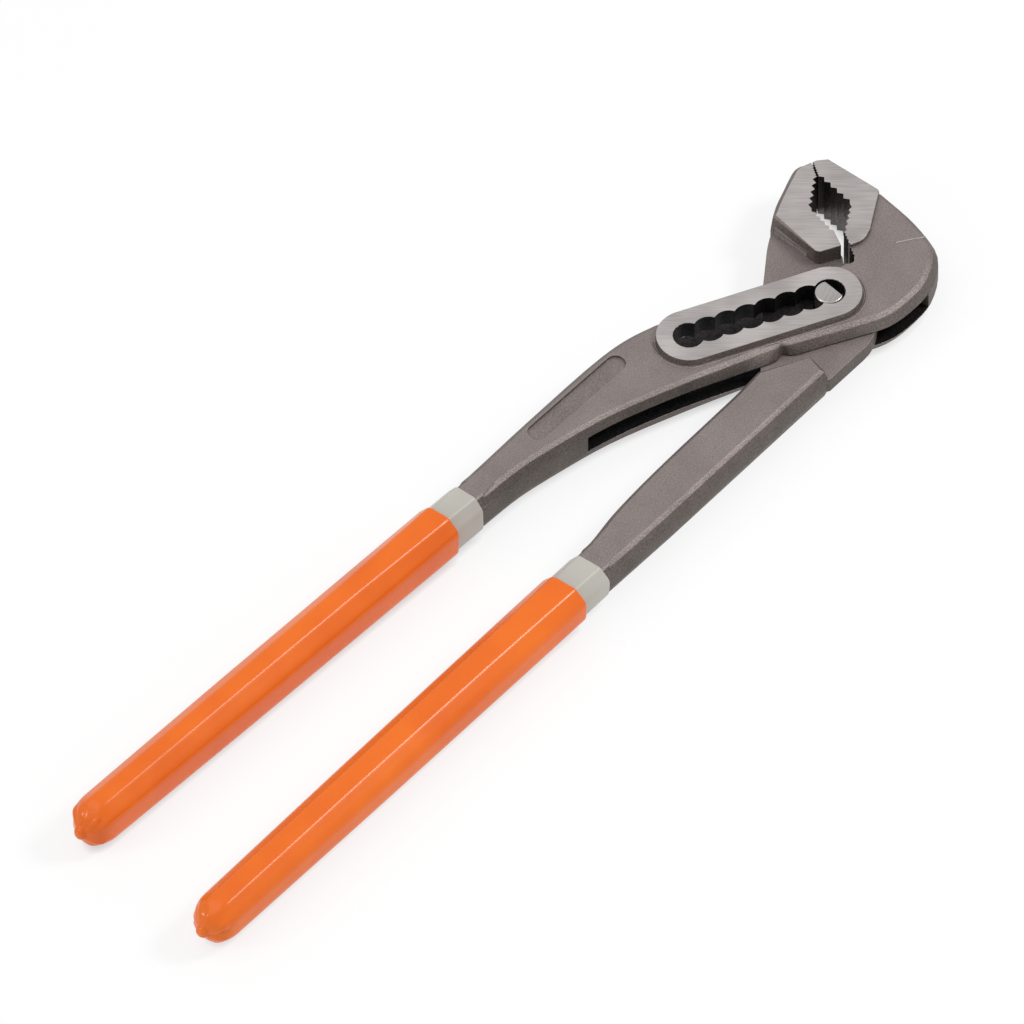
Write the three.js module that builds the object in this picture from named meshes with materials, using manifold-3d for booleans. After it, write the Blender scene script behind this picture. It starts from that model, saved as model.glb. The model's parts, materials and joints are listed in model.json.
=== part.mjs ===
// Water pump pliers with a box joint: two forged levers, a pivot pin in a scalloped slot, dipped grips.
// Millimetres. +X points to the jaws, +Z along the pivot. Outlines are drawn from the pivot axis,
// and the finished tool is moved so that the origin lies under its middle.
import * as THREE from 'three';
import { mergeVertices } from 'three/addons/utils/BufferGeometryUtils.js';
import Module from 'manifold-3d';

const DEGREE = Math.PI / 180;

// Fits between pieces.
const RUNNING_CLEARANCE = 0.3;
const COAT_CLEARANCE = 0.3;
const JAW_CLEARANCE = 0.3;

// Box joint: two cheeks with a gap between them and a ground boss on each.
const BOX_GAP = 5.4;
const CHEEK_THICKNESS = 3.7;
const BOSS_HEIGHT = 1.65;
const BOSS_RADIUS = 8.55;
const BOSS_DRAFT = 0.6;
const BOSS_ROUNDING = 0.1;
const BOSS_DRAFT_FULL_BELOW = -0.2;
const BOSS_DRAFT_NONE_ABOVE = 0.8;

// Scalloped slot: a row of overlapping round holes that starts at the pivot.
const HOLE_COUNT = 8;
const HOLE_PITCH = 5.6;
const HOLE_RADIUS = 4.15;
const SLOT_DIRECTION = 152.3 * DEGREE;

// Pivot pin, with a flat that lets it pass the necks of the slot when the handles are wide open.
const PIN_RECESS = 0.1;
const PIN_CHAMFER = 0.3;
const PIN_FLAT_OFFSET = 1.55;
const PIN_FLAT_DIRECTION = -7 * DEGREE;

// Jaws: ground plates that stand proud of the cheeks, and a toothed mouth along one line.
const JAW_PLATE_HEIGHT = 1.0;
const JAW_TIP = new THREE.Vector2(31.4, 31.9);
const JAW_DIRECTION = 56.1 * DEGREE;
const NIP_LENGTH = 5.0;
const NIP_TOOTH_DEPTH = 0.35;
const MOUTH_TOOTH_DEPTH = 1.0;
const THROAT_TOOTH_DEPTH = 0.65;

// Inner lever, and the rounding of every forged edge.
const INNER_THICKNESS = 11.0;
const INNER_BAND = 3.2;
const JAW_FOOT_HEIGHT = 2.0;
const FORGED_ROUNDING = 0.8;

// Recessed panel on the upper face of the outer handle.
const PANEL_CENTRE = new THREE.Vector2(-68.5, 27.7);
const PANEL_LENGTH = 36;
const PANEL_WIDTH = 5.4;
const PANEL_DEPTH = 0.6;
const PANEL_TILT = -1 * DEGREE;

// Dipped grips: a pale first coat that shows as a collar, and a coloured second coat over it.
const FIRST_COAT = 0.5;
const SECOND_COAT = 0.45;
const COLLAR_LENGTH = 10.3;
const TANG_STEP = 0.05;
const TANG_EDGE_RADIUS = 1.0;
const TANG_OVERLAP = 5;
const NOSE_LENGTH = 6.5;
const NOSE_BLUNTNESS = 0.7;
const TIP_SHARE = 0.27;
const DRIP_SHARE = 0.16;
const DRIP_LENGTH = 1.2;

// Handles: where the grip starts, which way the handle runs from there, and its flat faces.
const OUTER_HANDLE = {
  start: new THREE.Vector2(-110.9, 28.6),
  direction: 177.7 * DEGREE,
  length: 145.5,
  flatAtStart: 3.6,
  flatAtEnd: 2.3,
  thinning: 0.6,
  draft: 1.5,
};
const INNER_HANDLE = {
  start: new THREE.Vector2(-107.7, -10.2),
  direction: 180.1 * DEGREE,
  length: 153.5,
  flatAtStart: 4.35,
  flatAtEnd: 2.6,
  thinning: 0.4,
  draft: 1.45,
};

// Facets, and how far a cut runs past what it cuts.
const ROUND_STEPS = 40;
const BEND_STEPS = 10;
const HOLE_STEPS = 28;
const EDGE_STEPS = 4;
const COAT_CORNER_STEPS = 3;
const NOSE_STEPS = 5;
const GRIP_STEPS = 4;
const CUT_MARGIN = 1;

// Sizes that follow from those above.
const gapHalf = BOX_GAP / 2;
const boxHalf = gapHalf + CHEEK_THICKNESS;
const bossHalf = boxHalf + BOSS_HEIGHT;
const jawHalf = boxHalf + JAW_PLATE_HEIGHT;
const neckHalf = gapHalf - RUNNING_CLEARANCE;
const pinRadius = HOLE_RADIUS - RUNNING_CLEARANCE;
const slotLength = (HOLE_COUNT - 1) * HOLE_PITCH;
const slotAxis = new THREE.Vector2(Math.cos(SLOT_DIRECTION), Math.sin(SLOT_DIRECTION));
const slotSide = new THREE.Vector2(slotAxis.y, -slotAxis.x);
const jawAxis = new THREE.Vector2(Math.cos(JAW_DIRECTION), Math.sin(JAW_DIRECTION));
const jawSide = new THREE.Vector2(-jawAxis.y, jawAxis.x);

const wasm = await Module();
wasm.setup();

// A closed geometry as a solid that can be joined and cut.
function solidOf(geometry) {
  const bare = geometry.clone();
  bare.deleteAttribute('normal');
  bare.deleteAttribute('uv');
  const merged = mergeVertices(bare, 1e-4);
  const mesh = new wasm.Mesh({
    numProp: 3,
    vertProperties: merged.attributes.position.array,
    triVerts: Uint32Array.from(merged.index.array),
  });
  return new wasm.Manifold(mesh);
}

function geometryOf(solid) {
  const mesh = solid.getMesh();
  const geometry = new THREE.BufferGeometry();
  geometry.setAttribute('position', new THREE.BufferAttribute(mesh.vertProperties, 3));
  geometry.setIndex(new THREE.BufferAttribute(mesh.triVerts, 1));
  geometry.computeVertexNormals();
  return geometry;
}

// A closed skin over rings of equal length, with the given triangles as its first and last faces.
function skinOf(rings, capFaces) {
  const count = rings[0].length;
  const index = [];
  for (let ring = 0; ring + 1 < rings.length; ring += 1) {
    for (let i = 0; i < count; i += 1) {
      const a = ring * count + i;
      const b = ring * count + ((i + 1) % count);
      index.push(a, b, b + count, a, b + count, a + count);
    }
  }
  const last = (rings.length - 1) * count;
  for (const [a, b, c] of capFaces) {
    index.push(c, b, a, a + last, b + last, c + last);
  }
  const geometry = new THREE.BufferGeometry().setFromPoints(rings.flat());
  geometry.setIndex(index);
  return geometry;
}

function prism(shape, bottom, top, steps = ROUND_STEPS) {
  const options = { depth: top - bottom, bevelEnabled: false, curveSegments: steps };
  return new THREE.ExtrudeGeometry(shape, options).translate(0, 0, bottom);
}

function edgeNormal(from, to) {
  return new THREE.Vector2(to.y - from.y, from.x - to.x).normalize();
}

// A forging between two dies. Each contour point is (x, y, draft): the wall slopes out by the draft,
// from the contour in the plane of the faces to an upright band round the middle. Where there is
// draft, the edges of the faces are broken.
function forgedSlab(contour, half, bandHalf, rounding = FORGED_ROUNDING) {
  const count = contour.length;
  const outward = contour.map((point, i) => {
    const before = edgeNormal(contour[(i + count - 1) % count], point);
    const after = edgeNormal(point, contour[(i + 1) % count]);
    return before.add(after).normalize();
  });
  const ring = (z, growth) => contour.map((point, i) => new THREE.Vector3(
    point.x + outward[i].x * growth(point.z),
    point.y + outward[i].y * growth(point.z),
    z,
  ));
  const broken = half - rounding;
  const face = (draft) => -rounding * Math.min(1, draft);
  const wall = (draft) => (draft * rounding) / (half - bandHalf);
  const band = (draft) => draft;
  const levels = [[half, face], [broken, wall], [bandHalf, band]];
  const below = levels.map(([z, growth]) => ring(-z, growth));
  const above = levels.map(([z, growth]) => ring(z, growth));
  const rings = [...below, ...above.reverse()];
  return skinOf(rings, THREE.ShapeUtils.triangulateShape(rings[0], []));
}

// A smooth edge through (x, y, draft) points.
function forgedEdge(points) {
  const curve = new THREE.CatmullRomCurve3(points.map((point) => new THREE.Vector3(...point)));
  return curve.getPoints((points.length - 1) * EDGE_STEPS);
}

// Straight edges through (x, y) points, cut square to the faces.
function cutEdge(points) {
  return points.map((point) => new THREE.Vector3(point.x, point.y, 0));
}

function polygon(points) {
  return new THREE.Shape(points.map((point) => new THREE.Vector2(point.x, point.y)));
}

// A toothed edge: V notches to the left of the way from one point to the other.
function toothedEdge(from, to, count, depth) {
  const step = to.clone().sub(from).divideScalar(count);
  const notch = new THREE.Vector2(-step.y, step.x).setLength(depth);
  const points = [];
  for (let i = 0; i < count; i += 1) {
    const crest = from.clone().addScaledVector(step, i);
    points.push(crest, crest.clone().addScaledVector(step, 0.5).add(notch));
  }
  return [...points, to];
}

// A point of the mouth: how far back from the tip, and how far to the inner jaw's side.
function mouthPoint(back, side) {
  return JAW_TIP.clone().addScaledVector(jawAxis, -back).addScaledVector(jawSide, side);
}

// A point of the box: how far along the slot from the pivot, and how far to its upper side.
function slotPoint(along, side) {
  return slotAxis.clone().multiplyScalar(along).addScaledVector(slotSide, side);
}

// The outer jaw's half of the mouth, from the tip down to the throat.
function outerMouth() {
  const side = -JAW_CLEARANCE / 2;
  const nip = mouthPoint(NIP_LENGTH, side);
  const corner = mouthPoint(16.4, -5.4);
  const throat = mouthPoint(25.2, -1.15);
  const root = mouthPoint(33.2, -1.6);
  return [
    ...toothedEdge(mouthPoint(0, side), nip, 6, NIP_TOOTH_DEPTH),
    ...toothedEdge(nip, corner, 5, MOUTH_TOOTH_DEPTH).slice(1),
    ...toothedEdge(corner, throat, 5, THROAT_TOOTH_DEPTH).slice(1),
    ...toothedEdge(throat, root, 7, NIP_TOOTH_DEPTH).slice(1),
  ];
}

// The inner jaw's half of the mouth, from the throat up to the tip.
function innerMouth() {
  const side = JAW_CLEARANCE / 2;
  const throat = mouthPoint(23.8, 1.2);
  const corner = mouthPoint(15.0, 4.6);
  const nip = mouthPoint(NIP_LENGTH, side);
  return [
    mouthPoint(29.4, 0.75),
    ...toothedEdge(throat, corner, 5, THROAT_TOOTH_DEPTH),
    ...toothedEdge(corner, nip, 5, MOUTH_TOOTH_DEPTH).slice(1),
    ...toothedEdge(nip, mouthPoint(0, side), 6, NIP_TOOTH_DEPTH).slice(1),
  ];
}

// The end of the box round the pivot, and its ground upper edge, from the throat to the far hole.
function boxUpperEdge() {
  const bend = new THREE.Path();
  bend.absarc(0, 0, BOSS_RADIUS, 28 * DEGREE, SLOT_DIRECTION - 90 * DEGREE);
  return [
    mouthPoint(34.6, -1.2),
    mouthPoint(35.1, 0),
    mouthPoint(34.8, 1.2),
    ...bend.getPoints(BEND_STEPS / 2),
    slotPoint(slotLength * 0.5, BOSS_RADIUS),
    slotPoint(slotLength, BOSS_RADIUS),
  ];
}

// A face edge of a handle, at a distance before the grip's start.
function handleEdge(handle, side, before) {
  const along = new THREE.Vector2(Math.cos(handle.direction), Math.sin(handle.direction));
  const across = new THREE.Vector2(along.y, -along.x);
  const point = handle.start.clone().addScaledVector(along, -before);
  point.addScaledVector(across, side * handle.flatAtStart);
  return [point.x, point.y, handle.draft];
}

function outerContour() {
  const lowerEdge = forgedEdge([
    handleEdge(OUTER_HANDLE, -1, COAT_CLEARANCE + OUTER_HANDLE.draft),
    handleEdge(OUTER_HANDLE, -1, TANG_OVERLAP),
    [-96, 24.1, 1.4],
    [-83.1, 21.7, 1.3],
    [-67.2, 17.8, 1.1],
    [-46.6, 10.1, 1.1],
    [-33.8, 4.9, 1.8],
    [-22.5, 0.1, 2.1],
    [-20.4, -1.2, 0.5],
    [-18.6, -2.2, 1.7],
    [-12.0, -6.0, 1.7],
    [-3.0, -11.2, 1.6],
    [4.7, -14.9, 1.9],
    [12.5, -15.9, 1.9],
    [20.2, -15.1, 1.9],
    [29.2, -10.0, 1.7],
    [33.0, -1.0, 1.5],
    [35.3, 11.9, 1.0],
  ]);
  const nose = [[35.3, 21, 0.8], [34.9, 29.3, 0.8], [32.6, 31.4, 0.4]];
  const upperEdge = forgedEdge([
    [-36.4, 28.1, 1.2],
    [-44.1, 30.4, 1.5],
    [-53.1, 31.7, 1.5],
    [-82.6, 32.2, 1.5],
    handleEdge(OUTER_HANDLE, 1, TANG_OVERLAP),
    handleEdge(OUTER_HANDLE, 1, COAT_CLEARANCE + OUTER_HANDLE.draft),
  ]);
  return [
    ...lowerEdge,
    ...nose.map((point) => new THREE.Vector3(...point)),
    ...cutEdge(outerMouth()),
    ...cutEdge(boxUpperEdge()),
    ...upperEdge,
  ];
}

// The ground plate of the outer jaw, flush with its teeth and its back.
function outerJawPlate() {
  const foot = new THREE.QuadraticBezierCurve(
    new THREE.Vector2(25.6, 7.0),
    new THREE.Vector2(20.6, 3.4),
    new THREE.Vector2(16.2, 6.2),
  );
  const mouth = outerMouth().filter((point) => point.clone().sub(JAW_TIP).dot(jawAxis) > -28.7);
  const corners = [[34.9, 12.2], [35.3, 13], [34.9, 29.3], [32.6, 31.4]];
  const back = corners.map((corner) => new THREE.Vector2(...corner));
  return polygon([...foot.getPoints(BEND_STEPS / 2).reverse(), ...back, ...mouth]);
}

// The gap between the cheeks: open along both edges of the box, closed at the handle and at the jaw.
function boxGapShape() {
  const shape = new THREE.Shape();
  shape.moveTo(-76.2, 10);
  shape.lineTo(-76.2, -30);
  shape.lineTo(19.5, -30);
  shape.lineTo(19.5, -17.5);
  shape.quadraticCurveTo(18.5, -3, 12.6, 1.2);
  const throat = mouthPoint(34.7, 0.6);
  const top = mouthPoint(-10, 1.2);
  shape.lineTo(throat.x, throat.y);
  shape.lineTo(top.x, top.y);
  shape.lineTo(top.x, 50);
  shape.lineTo(-52, 50);
  shape.lineTo(-54, 36);
  shape.quadraticCurveTo(-70, 28, -76.2, 16);
  return shape;
}

// The row of overlapping holes as one outline of arcs that meet in cusps.
function scallopedSlot() {
  const shape = new THREE.Shape();
  const cusp = Math.acos(HOLE_PITCH / 2 / HOLE_RADIUS);
  const bulge = (hole, from, to) => {
    const centre = slotPoint(hole * HOLE_PITCH, 0);
    shape.absarc(centre.x, centre.y, HOLE_RADIUS, SLOT_DIRECTION + from, SLOT_DIRECTION + to);
  };
  bulge(0, cusp, 2 * Math.PI - cusp);
  for (let hole = 1; hole < HOLE_COUNT - 1; hole += 1) {
    bulge(hole, Math.PI + cusp, 2 * Math.PI - cusp);
  }
  bulge(HOLE_COUNT - 1, -Math.PI + cusp, Math.PI - cusp);
  for (let hole = HOLE_COUNT - 2; hole > 0; hole -= 1) {
    bulge(hole, cusp, Math.PI - cusp);
  }
  return shape;
}

// A slot-shaped outline between two centres.
function stadium(from, to, radius) {
  const along = Math.atan2(to.y - from.y, to.x - from.x);
  const shape = new THREE.Shape();
  shape.absarc(to.x, to.y, radius, along - Math.PI / 2, along + Math.PI / 2);
  shape.absarc(from.x, from.y, radius, along + Math.PI / 2, along + 1.5 * Math.PI);
  return shape;
}

// The ground boss round the slot. Its side slopes, save where it is ground with the box's upper edge.
function bossContour() {
  const outline = stadium(new THREE.Vector2(), slotPoint(slotLength, 0), BOSS_RADIUS);
  return outline.getPoints(ROUND_STEPS / 2).slice(1).map((point) => {
    const upper = point.dot(slotSide) / BOSS_RADIUS;
    const ground = THREE.MathUtils.smoothstep(upper, BOSS_DRAFT_FULL_BELOW, BOSS_DRAFT_NONE_ABOVE);
    return new THREE.Vector3(point.x, point.y, BOSS_DRAFT * (1 - ground));
  });
}

function panelRecess() {
  const reach = new THREE.Vector2((PANEL_LENGTH - PANEL_WIDTH) / 2, 0);
  reach.rotateAround(new THREE.Vector2(), PANEL_TILT);
  const from = PANEL_CENTRE.clone().sub(reach);
  const to = PANEL_CENTRE.clone().add(reach);
  return prism(stadium(from, to, PANEL_WIDTH / 2), boxHalf - PANEL_DEPTH, boxHalf + CUT_MARGIN, BEND_STEPS);
}

// The handle's section as corners (across, up), grown by an offset with round corners.
function handleSection(flat, draft, half, bandHalf, offset) {
  const band = flat + draft;
  const corners = [
    [band, -bandHalf], [band, bandHalf], [flat, half], [-flat, half],
    [-band, bandHalf], [-band, -bandHalf], [-flat, -half], [flat, -half],
  ].map((corner) => new THREE.Vector2(...corner));
  const normalAngle = (i) => {
    const edge = corners[(i + 1) % 8].clone().sub(corners[i % 8]);
    return Math.atan2(-edge.x, edge.y);
  };
  return corners.flatMap((corner, i) => {
    const from = normalAngle(i + 7);
    const turn = THREE.MathUtils.euclideanModulo(normalAngle(i) - from, 2 * Math.PI);
    return Array.from({ length: COAT_CORNER_STEPS + 1 }, (unused, step) => {
      const angle = from + (turn * step) / COAT_CORNER_STEPS;
      return corner.clone().add(new THREE.Vector2(Math.cos(angle), Math.sin(angle)).multiplyScalar(offset));
    });
  });
}

// The places along a handle where its section is set, each with its share of the full section.
function handleStations(handle, offset, from, drip) {
  const noseStart = handle.length - NOSE_LENGTH;
  const reach = NOSE_LENGTH + offset;
  const stations = [];
  for (let i = 0; i < GRIP_STEPS; i += 1) {
    stations.push([THREE.MathUtils.lerp(from, noseStart, i / GRIP_STEPS), 1]);
  }
  for (let i = 0; i < NOSE_STEPS; i += 1) {
    const turn = (i / NOSE_STEPS) * 90 * DEGREE;
    stations.push([noseStart + reach * Math.sin(turn), Math.cos(turn) ** NOSE_BLUNTNESS]);
  }
  stations.push([noseStart + reach, TIP_SHARE]);
  if (drip) {
    stations.push([noseStart + reach + DRIP_LENGTH, DRIP_SHARE]);
  }
  return stations;
}

// The handle from one place along it to its rounded nose, grown by an offset, with or without a drip.
function handleLoft(handle, half, bandHalf, offset, from, drip = false) {
  const along = new THREE.Vector2(Math.cos(handle.direction), Math.sin(handle.direction));
  const across = new THREE.Vector2(along.y, -along.x);
  const core = TANG_STEP + TANG_EDGE_RADIUS;
  const rings = handleStations(handle, offset, from, drip).map(([place, share]) => {
    const flat = THREE.MathUtils.mapLinear(place, 0, handle.length, handle.flatAtStart, handle.flatAtEnd);
    const top = half - (handle.thinning * place) / handle.length;
    const centre = handle.start.clone().addScaledVector(along, place);
    const section = handleSection(flat - core, handle.draft, top - core, bandHalf, offset + TANG_EDGE_RADIUS);
    return section.map((corner) => {
      const point = centre.clone().addScaledVector(across, -corner.x * share);
      return new THREE.Vector3(point.x, point.y, corner.y * share);
    });
  });
  const fan = Array.from({ length: rings[0].length - 2 }, (unused, i) => [0, i + 1, i + 2]);
  return skinOf(rings, fan);
}

// One dipped coat: open at its start, closed round the nose.
function coat(handle, half, bandHalf, inside, wall, from, drip) {
  const outer = solidOf(handleLoft(handle, half, bandHalf, inside + wall, from, drip));
  const cavity = solidOf(handleLoft(handle, half, bandHalf, inside, from - wall));
  return geometryOf(outer.subtract(cavity));
}

function outerLever() {
  const forging = solidOf(forgedSlab(outerContour(), boxHalf, gapHalf));
  const tang = solidOf(handleLoft(OUTER_HANDLE, boxHalf, gapHalf, 0, -TANG_OVERLAP));
  const boss = solidOf(forgedSlab(bossContour(), bossHalf, boxHalf - BOSS_DRAFT, BOSS_ROUNDING));
  const plate = solidOf(prism(outerJawPlate(), -jawHalf, jawHalf));
  const gap = solidOf(prism(boxGapShape(), -gapHalf, gapHalf, BEND_STEPS));
  const slot = solidOf(prism(scallopedSlot(), -bossHalf - CUT_MARGIN, bossHalf + CUT_MARGIN, HOLE_STEPS / 4));
  const recess = solidOf(panelRecess());
  const body = forging.add(tang).add(boss).add(plate);
  return geometryOf(body.subtract(gap).subtract(slot).subtract(recess));
}

// The inner lever's handle, from the grip to the shoulder.
function innerHandleContour() {
  const lowerEdge = [
    handleEdge(INNER_HANDLE, -1, COAT_CLEARANCE + INNER_HANDLE.draft),
    handleEdge(INNER_HANDLE, -1, TANG_OVERLAP),
    [-82, -14.8, 1.45],
    [-19.8, -14.6, 1.45],
    [-18.3, -8.8, 0.6],
    [-30.8, -1.9, 0.9],
  ];
  const upperEdge = forgedEdge([
    [-40.9, -2.6, 1.45],
    [-69, -3, 1.45],
    [-82, -3.5, 1.45],
    [-92.3, -4.3, 1.45],
    handleEdge(INNER_HANDLE, 1, TANG_OVERLAP),
    handleEdge(INNER_HANDLE, 1, COAT_CLEARANCE + INNER_HANDLE.draft),
  ]);
  return [...lowerEdge.map((point) => new THREE.Vector3(...point)), ...upperEdge];
}

// The flat neck that fills the gap of the box, from the shoulder round the pivot to the jaw.
function neckShape() {
  const shape = new THREE.Shape();
  shape.moveTo(-24, -13);
  shape.lineTo(-19.1, -16.2);
  shape.lineTo(-5.5, -16.2);
  shape.bezierCurveTo(3, -16.2, 8.6, -9.5, 9.4, -3);
  shape.bezierCurveTo(9.9, 1.2, 11.3, 4.6, 14.8, 7.8);
  shape.lineTo(20, 20);
  shape.lineTo(13.5, 28.4);
  shape.quadraticCurveTo(9, 27.9, 2.3, 23.1);
  shape.lineTo(-5.4, 17.7);
  shape.lineTo(-30.2, -1.9);
  shape.lineTo(-31, -8);
  return shape;
}

function innerJawContour() {
  const back = forgedEdge([
    [30.2, 32.7, 0.4],
    [28.6, 33.6, 0.9],
    [26.6, 33.8, 1.0],
    [19.6, 31.6, 0.9],
    [14.4, 29.7, 0.9],
    [10.9, 28.0, 0.7],
  ]);
  const heel = [new THREE.Vector2(8.7, 12), new THREE.Vector2(9.1, 10.9)];
  return [...cutEdge(innerMouth()), ...back, ...cutEdge(heel)];
}

// The foot that carries the inner jaw's plate down to the neck.
function jawFoot() {
  const corners = [[8.9, 15], [12, 13], [15, 29], [11.6, 28.2], [9.4, 26.4]];
  return polygon(corners.map((corner) => new THREE.Vector2(...corner)));
}

function innerLever() {
  const handle = solidOf(forgedSlab(innerHandleContour(), INNER_THICKNESS / 2, INNER_BAND / 2));
  const tang = solidOf(handleLoft(INNER_HANDLE, INNER_THICKNESS / 2, INNER_BAND / 2, 0, -TANG_OVERLAP));
  const neck = solidOf(prism(neckShape(), -neckHalf, neckHalf, BEND_STEPS));
  const footHalf = neckHalf + JAW_FOOT_HEIGHT;
  const foot = solidOf(prism(jawFoot(), -footHalf, footHalf));
  const jaw = solidOf(forgedSlab(innerJawContour(), jawHalf, INNER_BAND / 2));
  const eye = new THREE.Shape().absarc(0, 0, pinRadius + RUNNING_CLEARANCE, 0, 2 * Math.PI);
  const bore = solidOf(prism(eye, -jawHalf, jawHalf, HOLE_STEPS));
  return geometryOf(handle.add(tang).add(neck).add(foot).add(jaw).subtract(bore));
}

// A turned pin with a flat on each end, where it lies in the slot of a cheek.
function pivotPin() {
  const half = bossHalf - PIN_RECESS;
  const profile = [
    [0, -half],
    [pinRadius - PIN_CHAMFER, -half],
    [pinRadius, PIN_CHAMFER - half],
    [pinRadius, half - PIN_CHAMFER],
    [pinRadius - PIN_CHAMFER, half],
    [0, half],
  ].map((point) => new THREE.Vector2(...point));
  const turned = solidOf(new THREE.LatheGeometry(profile, ROUND_STEPS).rotateX(90 * DEGREE));
  const flats = [-1, 1].map((end) => {
    const block = new THREE.BoxGeometry(pinRadius, 4 * pinRadius, CHEEK_THICKNESS + 2 * BOSS_HEIGHT);
    block.translate(PIN_FLAT_OFFSET + pinRadius / 2, 0, 0).rotateZ(PIN_FLAT_DIRECTION);
    return solidOf(block.translate(0, 0, end * (gapHalf + CHEEK_THICKNESS / 2 + BOSS_HEIGHT)));
  });
  return geometryOf(turned.subtract(flats[0]).subtract(flats[1]));
}

function piece(name, geometry, colour, roughness, metalness) {
  const material = new THREE.MeshStandardMaterial({ color: colour, roughness, metalness });
  const mesh = new THREE.Mesh(geometry, material);
  mesh.name = name;
  return mesh;
}

// The two coats on one handle.
function grip(name, handle, half, bandHalf) {
  const firstInside = TANG_STEP + COAT_CLEARANCE;
  const secondInside = firstInside + FIRST_COAT + COAT_CLEARANCE;
  const first = coat(handle, half, bandHalf, firstInside, FIRST_COAT, 0, false);
  const second = coat(handle, half, bandHalf, secondInside, SECOND_COAT, COLLAR_LENGTH, true);
  const group = new THREE.Group();
  group.add(piece(`${name}_grip_undercoat`, first, 0xb4b4ae, 0.5, 0));
  group.add(piece(`${name}_grip_sleeve`, second, 0xf0702a, 0.3, 0));
  return group;
}

const tool = new THREE.Group();
tool.add(piece('outer_lever', outerLever(), 0x8c8482, 0.45, 1));
tool.add(piece('inner_lever', innerLever(), 0x8c8482, 0.45, 1));
tool.add(piece('pivot_pin', pivotPin(), 0xa5a8ac, 0.35, 1));
tool.add(grip('outer', OUTER_HANDLE, boxHalf, gapHalf));
tool.add(grip('inner', INNER_HANDLE, INNER_THICKNESS / 2, INNER_BAND / 2));

const box = new THREE.Box3().setFromObject(tool);
const middle = box.getCenter(new THREE.Vector3());
tool.position.set(-middle.x, -middle.y, -box.min.z);

export default tool;
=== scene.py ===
# %% [markdown]
# Water pump pliers, dressed for a studio picture.
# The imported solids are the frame: they give each piece its place and its joints, and they stay as they
# are. Materials could be put on them directly, but a solid from CAD has perfectly sharp edges and one
# finish all over, so this lesson builds a softer piece over each of them. Lengths are in millimetres
# from the pivot axis, as they were when the solids were drawn, and one function moves them to the frame.

# %% Load the frame
import json
import math

import bmesh
import bpy
import numpy as np
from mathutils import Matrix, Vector


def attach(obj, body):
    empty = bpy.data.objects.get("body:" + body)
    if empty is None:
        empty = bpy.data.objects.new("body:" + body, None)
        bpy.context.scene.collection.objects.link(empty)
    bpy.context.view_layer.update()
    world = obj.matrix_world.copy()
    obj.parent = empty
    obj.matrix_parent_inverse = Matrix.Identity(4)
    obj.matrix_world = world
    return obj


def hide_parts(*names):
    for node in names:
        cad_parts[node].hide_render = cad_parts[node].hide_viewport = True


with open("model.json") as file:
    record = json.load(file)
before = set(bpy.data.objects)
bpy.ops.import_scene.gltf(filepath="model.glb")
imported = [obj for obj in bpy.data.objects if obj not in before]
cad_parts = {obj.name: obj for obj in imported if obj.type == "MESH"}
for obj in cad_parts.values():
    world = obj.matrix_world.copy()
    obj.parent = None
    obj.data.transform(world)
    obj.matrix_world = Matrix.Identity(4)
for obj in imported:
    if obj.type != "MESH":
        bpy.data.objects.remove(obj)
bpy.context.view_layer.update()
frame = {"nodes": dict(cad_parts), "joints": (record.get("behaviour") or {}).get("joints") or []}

MM = 0.001
joints = {joint["name"]: joint for joint in frame["joints"]}
PIVOT = Vector(joints["jaw_pivot"]["pos_m"])
bpy.context.scene.view_settings.view_transform = "Standard"
print("pivot axis at", [round(value / MM, 2) for value in PIVOT], "mm")


def placed(points):
    """Points in millimetres from the pivot, moved to the frame in metres."""
    return np.asarray(points, float) * MM + np.array(PIVOT)


def from_pivot(points):
    """Points of the frame in metres, as millimetres from the pivot."""
    return (np.asarray(points, float) - np.array(PIVOT)) / MM


# %% [markdown]
# Every finish on the tool is built from a few shader nodes. They could be wired by hand in the shader
# editor, but a script can be read and run again, so one function adds a node with its settings and
# links. Colours are written as the hex values a paint program shows. Blender wants linear light, so a
# second function turns them.

# %% Node and colour helpers
def add_node(tree, kind, inputs=None, **settings):
    """A new node. An input that is a socket is linked, and any other value is set."""
    node = tree.nodes.new(kind)
    for name, value in settings.items():
        setattr(node, name, value)
    for name, value in (inputs or {}).items():
        if isinstance(value, bpy.types.NodeSocket):
            tree.links.new(value, node.inputs[name])
        else:
            node.inputs[name].default_value = value
    return node


def linear(hex_colour):
    """The linear colour, with full opacity, of an sRGB hex value."""
    channels = [int(hex_colour[i:i + 2], 16) / 255 for i in (1, 3, 5)]
    return [c / 12.92 if c <= 0.04045 else ((c + 0.055) / 1.055) ** 2.4 for c in channels] + [1.0]


print("the grey #808080 is", round(linear("#808080")[0], 3), "in linear light")


# %% [markdown]
# All the finishes here share one plan: a pattern picks between a dark and a light tone, and a height
# makes small dents. Both could come from painted images, but noise that is measured in the piece's own
# space needs no unwrapping and stays on the piece when it moves.

# %% The plan of a finish
def new_material(name):
    material = bpy.data.materials.new(name)
    material.use_nodes = True
    tree = material.node_tree
    shader = tree.nodes["Principled BSDF"]
    place = add_node(tree, "ShaderNodeTexCoord")
    return material, tree, shader, place.outputs["Object"]


def per_metre(size):
    """The scale of a noise whose features are about this many millimetres wide."""
    return 1 / (size * MM)


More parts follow.
